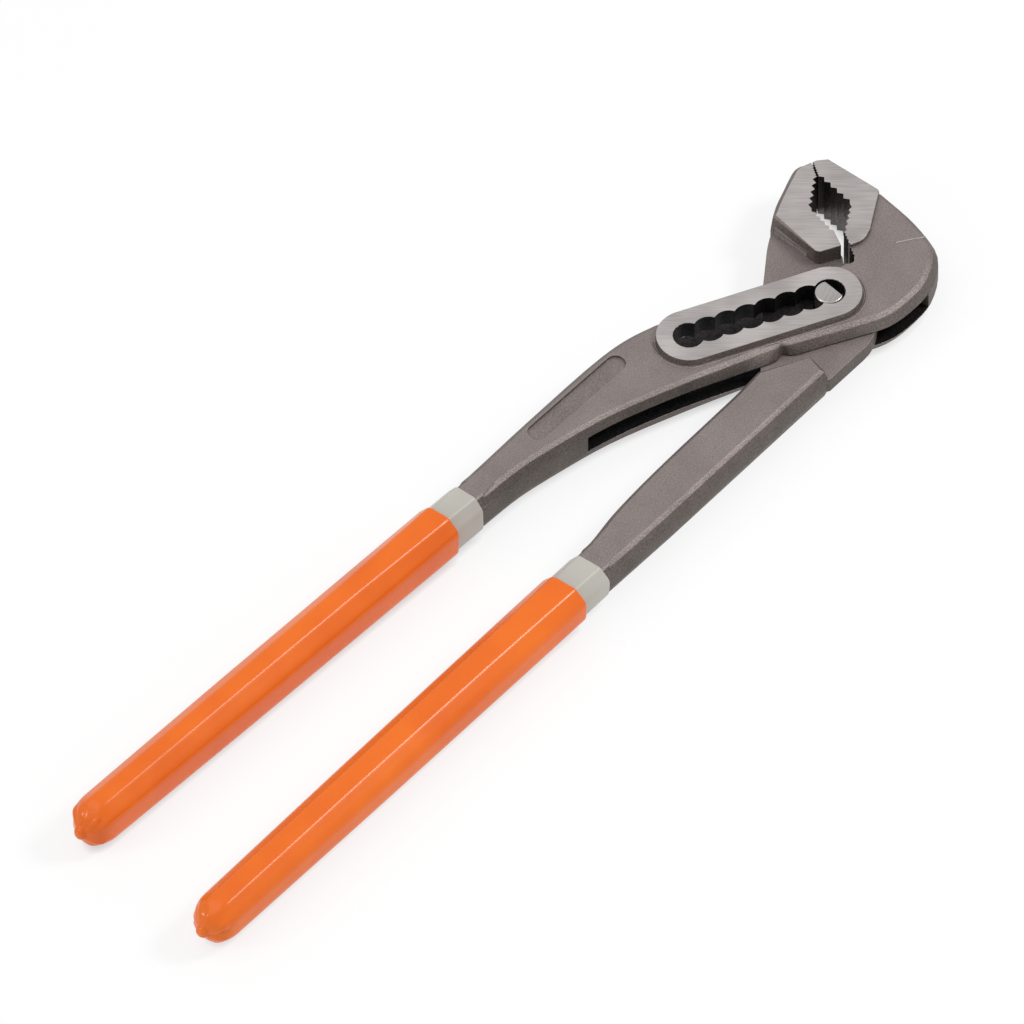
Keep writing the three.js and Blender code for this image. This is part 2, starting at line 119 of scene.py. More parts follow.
def finish_surface(tree, shader, pattern, tones, spread, height, dent, depth, roughness):
    """Links a pattern as two tones and a height as dents, and returns the row of tones."""
    ramp = add_node(tree, "ShaderNodeValToRGB", {"Fac": pattern})
    for stop, tone, place in zip(ramp.color_ramp.elements, tones, spread):
        stop.position = place
        stop.color = linear(tone)
    bump = add_node(tree, "ShaderNodeBump", {"Height": height, "Strength": dent, "Distance": depth * MM})
    tree.links.new(ramp.outputs["Color"], shader.inputs["Base Color"])
    tree.links.new(bump.outputs["Normal"], shader.inputs["Normal"])
    shader.inputs["Roughness"].default_value = roughness
    return ramp.color_ramp.elements


print("a noise with features of 1 mm has a scale of", round(per_metre(1.0)))


# %% [markdown]
# The levers are drop-forged steel, blasted after trimming. Blasting leaves a matt skin of tiny dents,
# which the eye sees as a fine even grain with faint clouds of lighter and darker grey. Real dents are
# finer than a pixel of this picture, so the grain is drawn a few times as coarse. Two noises could drive
# two shaders, but one mix of them is enough. The same steel comes in darker copies for the sloped edges
# and for the walls. Their darker tones are painted shade for faces that turn from the light. The walls and
# edges also get a few bright specks in their grain.

# %% Blasted steel
CLOUD_SIZE = 9.0
GRAIN_SHARE = 0.72
DENT_DEPTH = 0.2
BLASTED_SPREAD = (0.36, 0.64)
SPARK_PLACE = 0.7


def blasted_steel(name, light, dark, grain_size, dent, roughness, spark=None):
    material, tree, shader, place = new_material(name)
    clouds = add_node(tree, "ShaderNodeTexNoise",
                      {"Vector": place, "Scale": per_metre(CLOUD_SIZE), "Detail": 4.0})
    grain = add_node(tree, "ShaderNodeTexNoise",
                     {"Vector": place, "Scale": per_metre(grain_size), "Detail": 3.0})
    both = add_node(tree, "ShaderNodeMix",
                    {"Factor": GRAIN_SHARE, "A": clouds.outputs["Fac"], "B": grain.outputs["Fac"]})
    tones = finish_surface(tree, shader, both.outputs["Result"], (dark, light), BLASTED_SPREAD,
                           grain.outputs["Fac"], dent, DENT_DEPTH, roughness)
    if spark:
        tones.new(SPARK_PLACE).color = linear(spark)
    shader.inputs["Metallic"].default_value = 1.0
    print("finish:", name)
    return material


blasted_face = blasted_steel("blasted steel, flat face", "#8B8280", "#766E6C",
                             grain_size=0.4, dent=0.4, roughness=0.55)
# The die walls take a darker copy of the blasted steel: painted shade for faces turned from the light.
blasted_wall_painted_shade = blasted_steel("blasted steel, die wall, painted shade", "#776F6B", "#5C5551",
                             grain_size=0.45, dent=0.6, roughness=0.6, spark="#8F8783")
# Sloped faces and rounds take a tone between the flats and the walls: painted shade. Its specks are in the
# grain.
blasted_slope_painted_shade = blasted_steel("blasted steel, sloped edge, painted shade", "#857C79", "#68605E",
                             grain_size=0.4, dent=0.7, roughness=0.55, spark="#9C9490")
# The recess floor is a little darker than the other flats: painted shade in the recess.
blasted_recess_painted_shade = blasted_steel("blasted steel, recess floor, painted shade", "#877E7B", "#6C6462",
                               grain_size=0.45, dent=0.5, roughness=0.6)


# %% [markdown]
# The boss, the jaw plates and the pin's ends are ground flat after forging. A grinding wheel leaves
# straight scratches that are too fine to show here, so they are drawn about three times as wide. Many
# thin lines could be modelled, but a noise that is stretched along the scratch does the same with one
# Mapping node, and turning that node turns the scratches.

# %% Ground steel
DEGREE = math.pi / 180
SCRATCH_WIDTH = 0.35
SCRATCH_STRETCH = 25
SCRATCH_SHARE = 0.45
SCRATCH_DENT = 0.12
SCRATCH_DEPTH = 0.1
SHEEN_SIZE = 14.0
GROUND_SPREAD = (0.35, 0.65)


def ground_steel(name, light, dark, turn, roughness):
    material, tree, shader, place = new_material(name)
    along = add_node(tree, "ShaderNodeMapping",
                     {"Vector": place, "Rotation": (0, 0, turn), "Scale": (SCRATCH_STRETCH, 1, 1)},
                     vector_type="TEXTURE")
    scratches = add_node(tree, "ShaderNodeTexNoise",
                         {"Vector": along.outputs["Vector"], "Scale": per_metre(SCRATCH_WIDTH),
                          "Detail": 2.0})
    sheen = add_node(tree, "ShaderNodeTexNoise",
                     {"Vector": place, "Scale": per_metre(SHEEN_SIZE), "Detail": 2.0})
    both = add_node(tree, "ShaderNodeMix",
                    {"Factor": SCRATCH_SHARE, "A": sheen.outputs["Fac"], "B": scratches.outputs["Fac"]})
    finish_surface(tree, shader, both.outputs["Result"], (dark, light), GROUND_SPREAD,
                   scratches.outputs["Fac"], SCRATCH_DENT, SCRATCH_DEPTH, roughness)
    shader.inputs["Metallic"].default_value = 1.0
    print("finish:", name)
    return material


ground_face = ground_steel("ground steel", "#BDB8B5", "#9C9694", turn=-50 * DEGREE, roughness=0.3)
pin_steel = ground_steel("turned pin steel", "#B0ACAA", "#95918F", turn=20 * DEGREE, roughness=0.3)


# %% [markdown]
# Inside the box and the slot the steel is painted near black. This is painted shade, where the walls close
# round the hollows and little light gets in. The teeth of the jaws were cut after forging, and their
# darker tone is painted shade, as on the die walls. Both could have a function of their own, but they are
# the blasted steel with other tones, so they take that one.

# %% Painted shade in the hollows, and cut teeth
# Near black for the slot, the gap and the covered neck: painted shade.
black_painted_shade = blasted_steel("black painted shade", "#3B3838", "#262424",
                           grain_size=0.7, dent=0.4, roughness=0.5)
# The teeth take a wall-dark copy of the blasted steel: painted shade on faces turned from the light.
teeth_painted_shade = blasted_steel("broached teeth, painted shade", "#7A7572", "#5F5B58",
                               grain_size=0.5, dent=0.3, roughness=0.32)


# %% [markdown]
# The grips are dipped in soft PVC: a pale coat first, then an orange one that stops short of it. The dip
# runs smooth and glossy, with a very slight orange peel, and its colour drifts a little where it flowed
# thicker. A plain colour would look like enamel, so the drift and the peel are two soft noises.

# %% Dipped PVC
FLOW_SIZE = 18.0
PEEL_SIZE = 2.5
PEEL_DENT = 0.05
PEEL_DEPTH = 0.2
PVC_SPREAD = (0.3, 0.7)
PVC_IOR = 1.53
PVC_GLOSS = 0.24


def dipped_pvc(name, light, dark, roughness):
    material, tree, shader, place = new_material(name)
    flow = add_node(tree, "ShaderNodeTexNoise",
                    {"Vector": place, "Scale": per_metre(FLOW_SIZE), "Detail": 2.0})
    peel = add_node(tree, "ShaderNodeTexNoise",
                    {"Vector": place, "Scale": per_metre(PEEL_SIZE), "Detail": 1.0})
    finish_surface(tree, shader, flow.outputs["Fac"], (dark, light), PVC_SPREAD,
                   peel.outputs["Fac"], PEEL_DENT, PEEL_DEPTH, roughness)
    shader.inputs["IOR"].default_value = PVC_IOR
    shader.inputs["Specular IOR Level"].default_value = PVC_GLOSS
    print("finish:", name)
    return material


orange_pvc = dipped_pvc("orange dipped PVC", "#E8701C", "#DF6417", roughness=0.22)
pale_pvc = dipped_pvc("pale grey dipped PVC", "#B6B3AB", "#ABA79F", roughness=0.35)


# %% [markdown]
# The levers and the pin keep the shape of their solids. No real edge is perfectly sharp, so each gets a
# small round that catches the light. A Bevel modifier could do that all over, but the solids are loose
# triangles with some very short edges, where it would tear. So a copy is welded, its flat triangles are
# joined, and only edges with room for the round are bevelled.

# %% Copies of the steel solids
WELD = 0.002 * MM
FLAT_ANGLE = 0.15 * DEGREE
SHARP_ANGLE = 24 * DEGREE
# An edge has room if every edge at its ends is this many times as long as the round is wide.
ROOM = 2.5
ROUND_STEPS = 2
ROUND_PROFILE = 0.5


def welded_copy(node):
    shape = bmesh.new()
    shape.from_mesh(frame["nodes"][node].data)
    bmesh.ops.remove_doubles(shape, verts=shape.verts, dist=WELD)
    bmesh.ops.dissolve_limit(shape, angle_limit=FLAT_ANGLE, verts=shape.verts, edges=shape.edges)
    return shape


def round_edges(shape, width, softened):
    """A small round on each sharp outer edge that softened accepts and that has room for it."""
    def has_room(vert):
        return min(edge.calc_length() for edge in vert.link_edges) > ROOM * width

    sharp = [e for e in shape.edges if e.is_convex and e.calc_face_angle() > SHARP_ANGLE
             and softened(from_pivot((e.verts[0].co + e.verts[1].co) / 2))
             and has_room(e.verts[0]) and has_room(e.verts[1])]
    bmesh.ops.bevel(shape, geom=sharp, offset=width, offset_type="OFFSET", segments=ROUND_STEPS,
                    profile=ROUND_PROFILE, affect="EDGES", clamp_overlap=False)
    print(len(sharp), "edges rounded")


# %% [markdown]
# A finished shape becomes a mesh object at the origin, with its place in its mesh. Its finishes could be
# painted on by hand in Edit Mode, but a function that looks at each face's place and direction does it
# the same way after every change. Faces are shaded smooth, except across angles that are truly sharp.

# %% From a shape to a piece
SHADING_ANGLE = 35 * DEGREE


def finished_piece(shape, name, materials, finish_of):
    """A mesh object whose faces take the finish that finish_of gives for a place and a direction."""
    mesh = bpy.data.meshes.new(name)
    shape.to_mesh(mesh)
    shape.free()
    for material in materials:
        mesh.materials.append(material)
    for face in mesh.polygons:
        face.use_smooth = True
        face.material_index = materials.index(finish_of(from_pivot(face.center), face.normal))
    mesh.set_sharp_from_angle(angle=SHADING_ANGLE)
    piece = bpy.data.objects.new(name, mesh)
    bpy.context.scene.collection.objects.link(piece)
    print(name, len(mesh.polygons), "faces")
    return piece


# %% [markdown]
# The slot is a row of overlapping holes along which the pin steps, and the mouth is the toothed opening
# between the jaws. Both are darker than the steel round them. Their faces could be picked by number, but
# numbers change with every build, so two small functions say where a place lies: the slot's direction
# comes from its joint in the frame.

# %% Places in the slot and the mouth
HOLE_COUNT = 8
HOLE_PITCH = 5.6
HOLE_RADIUS = 4.15
SLOT_LENGTH = (HOLE_COUNT - 1) * HOLE_PITCH
SLOT_ALONG = np.array(joints["slot_slide"]["axis"])
SLOT_SIDE = np.array([SLOT_ALONG[1], -SLOT_ALONG[0], 0.0])
JAW_TIP = np.array([31.4, 31.9])
JAW_DIRECTION = 56.1 * DEGREE
JAW_BACK = -np.array([math.cos(JAW_DIRECTION), math.sin(JAW_DIRECTION)])
JAW_SIDE = np.array([-math.sin(JAW_DIRECTION), math.cos(JAW_DIRECTION)])
# Both areas are measured back from the jaws' tip, and from there to the inner jaw's side.
TEETH = {"back": (-0.2, 29.2), "side": (-6.9, 6.0)}
THROAT = {"back": (29.2, 35.6), "side": (-2.4, 0.6)}


def slot_distance(place):
    """How far a place lies from the slot's middle line."""
    along = place @ SLOT_ALONG
    past = max(0.0, -along, along - SLOT_LENGTH)
    return math.hypot(past, place @ SLOT_SIDE)


def in_mouth(place):
    """Whether a place lies among the teeth or in the throat below them."""
    from_tip = place[:2] - JAW_TIP
    back, side = from_tip @ JAW_BACK, from_tip @ JAW_SIDE
    return any(area["back"][0] < back < area["back"][1] and area["side"][0] < side < area["side"][1]
               for area in (TEETH, THROAT))


print("the slot's middle line is", round(SLOT_LENGTH, 1), "mm long")


# %% [markdown]
# Which finish a face has follows partly from how the tool was made and partly from painted shade. The
# faces that stand highest met the grinding wheel, the teeth were cut, and all the rest was blasted. The
# walls of the slot and the gap are painted near black, the teeth and the other walls darker than the flat
# faces, the sloped faces in between, and the recess floor a little darker: all of this is painted shade.
# Masks could be painted for this, but height, direction and place already tell them apart.

# %% Finishes and painted shade by place
GAP_HALF = 2.7
JAW_HALF = 7.4
RECESS_LEVEL = 5.8
NEAR = 0.12
FLAT_FACING = 0.98
WALL_FACING = 0.5
SLOT_MARGIN = 0.5


def steel_finish(place, normal):
    height = abs(place[2])
    facing_up = abs(normal.z)
    if facing_up > FLAT_FACING:
        if height > JAW_HALF - NEAR:
            return ground_face
        # Faces inside the gap between the cheeks: near black, painted shade.
        if abs(height - GAP_HALF) < NEAR:
            return black_painted_shade
        # The recess floor: a slightly darker tone, painted shade.
        return blasted_recess_painted_shade if abs(height - RECESS_LEVEL) < NEAR else blasted_face
    # Sloped faces: a darker tone than the flats, painted shade.
    if facing_up > WALL_FACING:
        return blasted_slope_painted_shade
    # Walls among the teeth: a darker tone than the flats, painted shade.
    if in_mouth(place):
        return teeth_painted_shade
    # The slot's walls are near black and the other walls are darker than the flats: both are painted
    # shade.
    return black_painted_shade if slot_distance(place) < HOLE_RADIUS + SLOT_MARGIN else blasted_wall_painted_shade


print("faces more than", JAW_HALF - NEAR, "mm from the middle plane are ground")


# %% [markdown]
# The neck of the inner lever runs through the box. Where the cheeks cover it, it is painted near black as
# shade between them, and a few millimetres further out it is blasted like the rest. A mask in the material
# could make the change, but here the neck's flat faces are cut along two lines beside the slot, so that
# each side of a cut has its own finish.

# %% Neck inside the box
NECK_HALF = 2.4
COVERED = 8.3


def on_neck(place):
    return abs(abs(place[2]) - NECK_HALF) < NEAR


def divide_neck(shape):
    for side in (-COVERED, COVERED):
        flats = [f for f in shape.faces if on_neck(from_pivot(f.calc_center_median()))]
        outlines = [part for f in flats for part in (*f.edges, *f.verts)]
        bmesh.ops.bisect_plane(shape, geom=list(dict.fromkeys(flats + outlines)), plane_no=SLOT_SIDE,
                               plane_co=placed(SLOT_SIDE * side))
    print("the neck is black over", 2 * COVERED, "mm")


def inner_finish(place, normal):
    # Under the cheeks the neck is near black: painted shade.
    if on_neck(place) and abs(place @ SLOT_SIDE) < COVERED:
        return black_painted_shade
    return steel_finish(place, normal)


# %% [markdown]
# Now the three steel pieces: the outer forging with the box, the inner forging with the neck, and the pin.
# Each is a rounded copy of its solid. They could be drawn anew, but then a change of the solid would be
# lost here. A weighted-normal modifier keeps the large faces flat in the light, with the shading's bend
# in the small rounds alone.

# %% Steel pieces
LEVER_EDGE = 0.18
PIN_EDGE = 0.12
STEEL_FINISHES = [blasted_face, blasted_wall_painted_shade, blasted_slope_painted_shade, blasted_recess_painted_shade, ground_face, black_painted_shade,
                  teeth_painted_shade, pin_steel]


def steel_piece(node, name, body, edge, finish_of, divide=None):
    shape = welded_copy(node)
    round_edges(shape, edge * MM, lambda place: not in_mouth(place))
    if divide:
        divide(shape)
    piece = finished_piece(shape, name, STEEL_FINISHES, finish_of)
    even = piece.modifiers.new("even normals", "WEIGHTED_NORMAL")
    even.keep_sharp = True
    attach(piece, body)
    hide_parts(node)


steel_piece("outer_lever", "outer_forging", "outer_half", LEVER_EDGE, steel_finish)
steel_piece("inner_lever", "inner_forging", "inner_half", LEVER_EDGE, inner_finish, divide_neck)
steel_piece("pivot_pin", "pin", "pin", PIN_EDGE, lambda place, normal: pin_steel)


# %% [markdown]
# A dipped grip follows the handle under it: eight faces, a little slimmer towards the end. The thick
# liquid rounds every edge, those beside the flats least, and turns the sides almost round. A cube could be
# stretched and subdivided to this shape, but its walls would be uneven. So the section is given at a few
# stations along the handle and each of its corners is an arc. A thinner coat has the same arcs with
# smaller radii, so every wall is even.

# %% Grip sections
CORNER_STEPS = 6
FLAT_STEPS = 3
RIDGE_RADIUS = 2.0
SIDE_RADIUS = 3.5
STATIONS = (0.0, 0.15, 0.3, 0.6, 1.0)
# At each station: half the flat's width and its height, half the grip's width and its corners' height.
HANDLES = {
    "outer": {"start": (-110.9, 28.6), "direction": 177.7 * DEGREE, "length": 145.5,
              "ridge": (3.5, 2.85, 2.25, 1.95, 1.95), "height": (7.95, 7.86, 7.77, 7.59, 7.35),
              "side": (6.3, 6.35, 6.35, 6.3, 5.8), "corner": (3.8, 4.0, 4.1, 4.1, 4.0)},
    "inner": {"start": (-107.7, -10.2), "direction": 180.1 * DEGREE, "length": 153.5,
              "ridge": (3.85, 3.2, 2.7, 2.35, 2.25), "height": (7.05, 6.99, 6.93, 6.81, 6.65),
              "side": (6.9, 6.85, 6.75, 6.7, 6.0), "corner": (2.9, 3.4, 3.65, 3.4, 3.5)},
}


def section(handle, part, inset, softness):
    """The grip's section (across, up) at a share of its length, moved in by an inset."""
    ridge, height, side, corner = (np.interp(part, STATIONS, handle[name])
                                   for name in ("ridge", "height", "side", "corner"))
    corners = np.array([(side, -corner), (side, corner), (ridge, height), (-ridge, height),
                        (-side, corner), (-side, -corner), (-ridge, -height), (ridge, -height)])
    radii = [SIDE_RADIUS, SIDE_RADIUS, RIDGE_RADIUS + softness, RIDGE_RADIUS + softness] * 2
    edges = np.roll(corners, -1, axis=0) - corners
    facing = np.arctan2(-edges[:, 0], edges[:, 1])
    arcs = []
    for i, radius in enumerate(radii):
        turn = (facing[i] - facing[i - 1]) % (2 * math.pi)
        middle = facing[i - 1] + turn / 2
        centre = corners[i] - radius / math.cos(turn / 2) * np.array([math.cos(middle), math.sin(middle)])
        angles = facing[i - 1] + turn * np.linspace(0, 1, CORNER_STEPS)
        arcs.append(centre + (radius - inset) * np.column_stack([np.cos(angles), np.sin(angles)]))
    points = []
    for arc, following in zip(arcs, arcs[1:] + arcs[:1]):
        points.extend(arc)
        points.extend(np.linspace(arc[-1], following[0], FLAT_STEPS + 2)[1:-1])
    return np.array(points)


middle_section = section(HANDLES["outer"], part=0.5, inset=0.0, softness=0.0)
RING = np.arctan2(middle_section[:, 1], middle_section[:, 0])
print("a ring has", len(RING), "points")


# %% [markdown]
# A ring is one section set at its place along the handle. Towards the tip the ring shrinks and its
# corners soften, as the edges of the handle's end do under two coats. The rings could be scaled by hand,
# but one function serves all four coats, inside and outside.

# %% Rings along a handle
NOSE_SOFTNESS = 6.0
MOST_SOFTNESS = 2.5
# The sections are those of the orange coat's outside, which is this far from the steel.
SLEEVE_OUTSIDE = 1.6


def handle_ring(handle, place, share, offset):
    """One ring of points. The place along the handle and the share may differ round the ring."""
    place = np.broadcast_to(np.asarray(place, float), RING.shape)
    share = np.broadcast_to(np.asarray(share, float), RING.shape)
    softness = min(NOSE_SOFTNESS * (1 - share.mean()), MOST_SOFTNESS)
    part = place.mean() / handle["length"]
    across_up = section(handle, part, SLEEVE_OUTSIDE - offset, softness) * share[:, None]
    along = np.array([math.cos(handle["direction"]), math.sin(handle["direction"])])
    aside = np.array([-along[1], along[0]])
    flat_points = np.array(handle["start"]) + place[:, None] * along + across_up[:, :1] * aside
    return np.column_stack([flat_points, across_up[:, 1]])


half_way = handle_ring(HANDLES["outer"], HANDLES["outer"]["length"] / 2, 1.0, SLEEVE_OUTSIDE)
print("half way, the outer grip is", round(np.ptp(half_way[:, 2]), 1), "mm thick")


# %% [markdown]
# At the tip the skin shrank into folds as it set, and a last drop hung there. The folds could be
# sculpted, but sums of sines with fixed phases come out the same each time. They are strongest part way
# down the nose and fade out to both sides.

# %% Folds and drop at the tip
BODY_STEP = 5.0
NOSE_LENGTH = 6.5
NOSE_REACH = 1.02
NOSE_FULLNESS = 2.6
NOSE_BLUNTNESS = 0.47
NOSE_FIRST = 0.06
NOSE_LAST = 0.96
NOSE_RINGS = 19
# Each pair is how far along the nose a ring lies and what share of the section is left there.
NOSE = [(far, (1 - (far / NOSE_REACH) ** NOSE_FULLNESS) ** NOSE_BLUNTNESS)
        for far in np.linspace(NOSE_FIRST, NOSE_LAST, NOSE_RINGS)]
DROP = [(0.972, 0.37), (0.99, 0.325), (1.02, 0.295), (1.06, 0.275), (1.1, 0.25), (1.135, 0.205),
        (1.155, 0.12)]
FOLD_COUNTS = (5, 8, 12)
FOLD_DEPTH = 0.1
FOLD_MIDDLE = 0.72
FOLD_SPREAD = 0.22
FOLD_TWIST = 2.5
SLIP_COUNTS = (2, 3)
SLIP_LENGTH = 3.0
SLIP_PHASE = 2.0


def waves(phase, counts):
    """A smooth wave round the ring, between -1 and 1, that has these counts of crests."""
    return sum(np.sin(count * RING + phase * (i + 1)) for i, count in enumerate(counts)) / len(counts)


def coat_side(handle, start, offset, ends, phase):
    """Rings (place, share, offset) of one side of a coat, from behind its rim to its tip."""
    nose_start = handle["length"] - NOSE_LENGTH
    count = int((nose_start - start) / BODY_STEP)
    rings = [(place, 1.0, offset) for place in np.linspace(start, nose_start, count)]
    for far, share in ends:
        fold = FOLD_DEPTH * math.exp(-((far - FOLD_MIDDLE) / FOLD_SPREAD) ** 2)
        slip = SLIP_LENGTH * fold * waves(phase + SLIP_PHASE, SLIP_COUNTS)
        pinch = 1 + fold * waves(phase + FOLD_TWIST * far, FOLD_COUNTS)
        rings.append((nose_start + (NOSE_LENGTH + offset) * far + slip, share * pinch, offset))
    return rings


print("the nose is drawn with", len(NOSE), "rings, and the drop with", len(DROP))


# %% [markdown]
# The tool hung at a slant when it was dipped, so the coats' edges run a little askew, and they are never
# quite straight. A single surface with a Solidify modifier could stand for a coat, but its rim would be
# square. Here rings run along the inside, over a rounded lip and along the outside, so that it is a real
# skin with a thickness.

# %% Rings of a coat
LIP_WAVE = 0.22
LIP_COUNTS = (1, 2, 3)
LIP_SLANT = 0.85
# Each pair is how far behind the lip's edge a ring lies and what share of the wall it has reached.
LIP_ROUND = ((0.02, 0.35), (0.12, 0.7), (0.35, 0.95), (0.7, 1.0))
LIP_ROOM_INSIDE = 2.0
LIP_ROOM_OUTSIDE = 3.0


def coat_rings(handle, start, inside, wall, ends, phase):
    """All rings of a coat, from the inside of its tip over its lip to the outside of its tip."""
    lip = start + LIP_WAVE * waves(phase, LIP_COUNTS) - LIP_SLANT * np.cos(RING)
    # The inside ends two rings before the outside does, which leaves a wall at the tip.
    rings = coat_side(handle, start + LIP_ROOM_INSIDE, inside, NOSE[:-2], phase)[::-1]
    rings.append((lip, 1.0, inside))
    rings += [(lip + along, 1.0, inside + up * wall) for along, up in LIP_ROUND]
    rings += coat_side(handle, start + LIP_ROOM_OUTSIDE, inside + wall, ends, phase)
    return [handle_ring(handle, *ring) for ring in rings]


print("a lip turns over in", len(LIP_ROUND), "rings")


# %% [markdown]
# Each handle was dipped twice. The pale coat shows only as a collar, but it goes on under the orange one.
# The rings could be bridged by hand in Edit Mode, but a loop joins each ring to the next with four-sided
# faces in the same way every time, and two end faces close the skin.

# %% Coats
COATS = {
    "collar_coat": {"start": 0.75, "inside": 0.35, "wall": 0.5, "ends": NOSE, "material": pale_pvc,
                    "slot": "undercoat", "node": "grip_undercoat",
                    "phase": {"outer": 0.4, "inner": 1.4}},
    "orange_coat": {"start": 10.8, "inside": 0.87, "wall": 0.73, "ends": NOSE + DROP,
                    "material": orange_pvc, "slot": "sleeve", "node": "grip_sleeve",
                    "phase": {"outer": 1.1, "inner": 3.1}},
}


def dipped_coat(side, name):
    coat = COATS[name]
    rings = coat_rings(HANDLES[side], coat["start"], coat["inside"], coat["wall"], coat["ends"],
                       coat["phase"][side])
    shape = bmesh.new()
    loops = [[shape.verts.new(point) for point in placed(ring)] for ring in rings]
    for before, after in zip(loops, loops[1:]):
        for i in range(len(RING)):
            shape.faces.new([before[i - 1], before[i], after[i], after[i - 1]])
    shape.faces.new(loops[0][::-1])
    shape.faces.new(loops[-1])
    bmesh.ops.remove_doubles(shape, verts=shape.verts, dist=WELD)
    bmesh.ops.recalc_face_normals(shape, faces=shape.faces)
    material = coat["material"]
    piece = finished_piece(shape, f"{side}_{name}", [material], lambda place, normal: material)
    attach(piece, f"{side}_half")
    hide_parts(f"{side}_{coat['node']}")


for side in HANDLES:
    for name in COATS:
        dipped_coat(side, name)


# %% [markdown]
# Two marks of the forging die are thin raised lines that follow a path: a bead round the foot of each
# boss, and a short crease across the cheek. A curve with a bevel depth would do for one line, but a node
# tree can sweep a circle along any path and thin the line out towards its ends, by the share called Taper.

# %% Node tree for a raised line
CIRCLE_POINTS = 10


def raised_line_tree():
    tree = bpy.data.node_groups.new("raised line", "GeometryNodeTree")
    face = tree.interface
    face.new_socket("Path", in_out="INPUT", socket_type="NodeSocketGeometry")
    for name in ("Width", "Taper"):
        face.new_socket(name, in_out="INPUT", socket_type="NodeSocketFloat")
    face.new_socket("Finish", in_out="INPUT", socket_type="NodeSocketMaterial")
    face.new_socket("Line", in_out="OUTPUT", socket_type="NodeSocketGeometry")
    given = add_node(tree, "NodeGroupInput")
    along = add_node(tree, "GeometryNodeSplineParameter")
    from_middle = add_node(tree, "ShaderNodeMapRange",
                           {"Value": along.outputs["Factor"], "To Min": -1.0, "To Max": 1.0})
    steep = add_node(tree, "ShaderNodeMath", {0: from_middle.outputs[0], 1: 2.0}, operation="POWER")
    lost = add_node(tree, "ShaderNodeMath", {0: steep.outputs[0], 1: given.outputs["Taper"]},
                    operation="MULTIPLY")
    left = add_node(tree, "ShaderNodeMath", {0: 1.0, 1: lost.outputs[0]}, operation="SUBTRACT")
    path = add_node(tree, "GeometryNodeSetCurveRadius",
                    {"Curve": given.outputs["Path"], "Radius": left.outputs[0]})
    radius = add_node(tree, "ShaderNodeMath", {0: given.outputs["Width"], 1: 0.5}, operation="MULTIPLY")
    circle = add_node(tree, "GeometryNodeCurvePrimitiveCircle",
                      {"Resolution": CIRCLE_POINTS, "Radius": radius.outputs[0]})
    swept = add_node(tree, "GeometryNodeCurveToMesh",
                     {"Curve": path.outputs["Curve"], "Profile Curve": circle.outputs["Curve"],
                      "Fill Caps": True})
    real = add_node(tree, "GeometryNodeRealizeInstances", {"Geometry": swept.outputs["Mesh"]})
    done = add_node(tree, "GeometryNodeSetMaterial",
                    {"Geometry": real.outputs["Geometry"], "Material": given.outputs["Finish"]})
    add_node(tree, "NodeGroupOutput", {"Line": done.outputs["Geometry"]})
    return tree


raised_line = raised_line_tree()
line_inputs = {item.name: item.identifier for item in raised_line.interface.items_tree
               if item.in_out == "INPUT"}
print(raised_line.name, "has", len(raised_line.nodes), "nodes")


# %% [markdown]
# The tree works on a curve object that holds the paths. Its result could stay live as a modifier, but a
# plain mesh is safer to export, so the evaluated result is copied to a mesh and the curve is removed.

# %% Raised lines from paths
def path_curve(name, paths):
    data = bpy.data.curves.new(name, "CURVE")
    data.dimensions = "3D"
    for path in paths:
        spline = data.splines.new("POLY")
        spline.points.add(len(path) - 1)
        for point, place in zip(spline.points, placed(path)):
            point.co = (*place, 1)
    return data


def raised_lines(name, paths, width, taper, finish, body):
    """Paths in millimetres from the pivot, each swept to a thin raised line."""
    data = path_curve(name, paths)
    guide = bpy.data.objects.new(name + " guide", data)
    bpy.context.scene.collection.objects.link(guide)
    sweep = guide.modifiers.new("raised line", "NODES")
    sweep.node_group = raised_line
    sweep[line_inputs["Width"]] = width * MM
    sweep[line_inputs["Taper"]] = taper
    sweep[line_inputs["Finish"]] = finish
    evaluated = guide.evaluated_get(bpy.context.evaluated_depsgraph_get())
    mesh = bpy.data.meshes.new_from_object(evaluated)
    bpy.data.objects.remove(guide)
    bpy.data.curves.remove(data)
    mesh.name = name
    for face in mesh.polygons:
        face.use_smooth = True
    piece = bpy.data.objects.new(name, mesh)
    bpy.context.scene.collection.objects.link(piece)
    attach(piece, body)
    print(name, len(mesh.polygons), "faces")


# %% [markdown]
# The bead runs round the foot of the boss where the cheek reaches past it, and there is one on each side.
# It is sunk a little, so that it reads as a swelling of the steel. The crease is a raised line near the
# jaw's back, and its lighter ground steel is a painted highlight. Both are thinner than a millimetre and
# could be a bump in a material, but real lines also catch the light at a low angle.

# %% Bead round each boss, and the crease
BOX_HALF = 6.4
BOSS_FOOT = 9.5
BEAD_WIDTH = 0.7
BEAD_TAPER = 0.8
BEAD_SINK = 0.16
BEAD_STEPS = 24
# Each end: its place along the slot, and the turns in degrees from where to where the bead goes.
BEAD_ENDS = ((0.0, 20, -90), (SLOT_LENGTH, -90, -195))
CREASE = [(24.9, -1.7, BOX_HALF), (28.4, -4.1, BOX_HALF), (31.4, -6.3, BOX_HALF - 0.1)]
CREASE_WIDTH = 0.35
CREASE_TAPER = 0.7


def boss_path(level):
    """Round the boss's near end, along its side and round its far end."""
    points = []
    for along, first, last in BEAD_ENDS:
        for turn in np.linspace(first, last, BEAD_STEPS) * DEGREE:
            away = math.sin(turn) * SLOT_SIDE - math.cos(turn) * SLOT_ALONG
            points.append(along * SLOT_ALONG + BOSS_FOOT * away + (0, 0, level))
    return points


bead_level = BOX_HALF - BEAD_SINK
raised_lines("boss_bead", [boss_path(bead_level), boss_path(-bead_level)], BEAD_WIDTH, BEAD_TAPER,
             blasted_slope_painted_shade, "outer_half")
